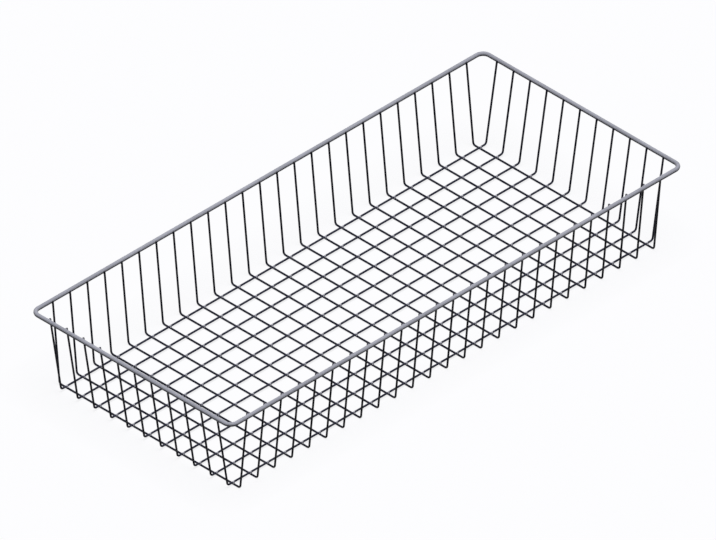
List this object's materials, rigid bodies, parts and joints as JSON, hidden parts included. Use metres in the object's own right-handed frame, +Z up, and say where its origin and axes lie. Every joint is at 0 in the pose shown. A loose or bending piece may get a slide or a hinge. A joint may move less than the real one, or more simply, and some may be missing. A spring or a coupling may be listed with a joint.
{
  "type": "wire locker basket",
  "caption": "Shallow rectangular welded wire basket with a closed rod rim, a square mesh floor and four outward leaning walls of upright wires.",
  "frame": {"origin": "middle of the floor, at the underside of the lower layer of wires, in the plane that the basket stands on", "axes": "+X along the basket's length, +Y across it, +Z up out of its open mouth"},
  "size_m": [0.9, 0.4, 0.137],
  "materials": {
    "rim_steel": "satin grey coat on steel rod",
    "cross_wire_steel": "satin blue black coat on steel wire",
    "long_wire_steel": "satin blue black coat on steel wire"
  },
  "bodies": {
    "root": {"rim_rod": "rim_steel", "cross_wire_01": "cross_wire_steel", "cross_wire_02": "cross_wire_steel", "cross_wire_03": "cross_wire_steel", "cross_wire_04": "cross_wire_steel", "cross_wire_05": "cross_wire_steel", "cross_wire_06": "cross_wire_steel", "cross_wire_07": "cross_wire_steel", "cross_wire_08": "cross_wire_steel", "cross_wire_09": "cross_wire_steel", "cross_wire_10": "cross_wire_steel", "cross_wire_11": "cross_wire_steel", "cross_wire_12": "cross_wire_steel", "cross_wire_13": "cross_wire_steel", "cross_wire_14": "cross_wire_steel", "cross_wire_15": "cross_wire_steel", "cross_wire_16": "cross_wire_steel", "cross_wire_17": "cross_wire_steel", "cross_wire_18": "cross_wire_steel", "cross_wire_19": "cross_wire_steel", "cross_wire_20": "cross_wire_steel", "cross_wire_21": "cross_wire_steel", "cross_wire_22": "cross_wire_steel", "cross_wire_23": "cross_wire_steel", "cross_wire_24": "cross_wire_steel", "cross_wire_25": "cross_wire_steel", "long_wire_01": "long_wire_steel", "long_wire_02": "long_wire_steel", "long_wire_03": "long_wire_steel", "long_wire_04": "long_wire_steel", "long_wire_05": "long_wire_steel", "long_wire_06": "long_wire_steel", "long_wire_07": "long_wire_steel", "long_wire_08": "long_wire_steel", "long_wire_09": "long_wire_steel", "long_wire_10": "long_wire_steel", "long_wire_11": "long_wire_steel"}
  },
  "joints": []
}
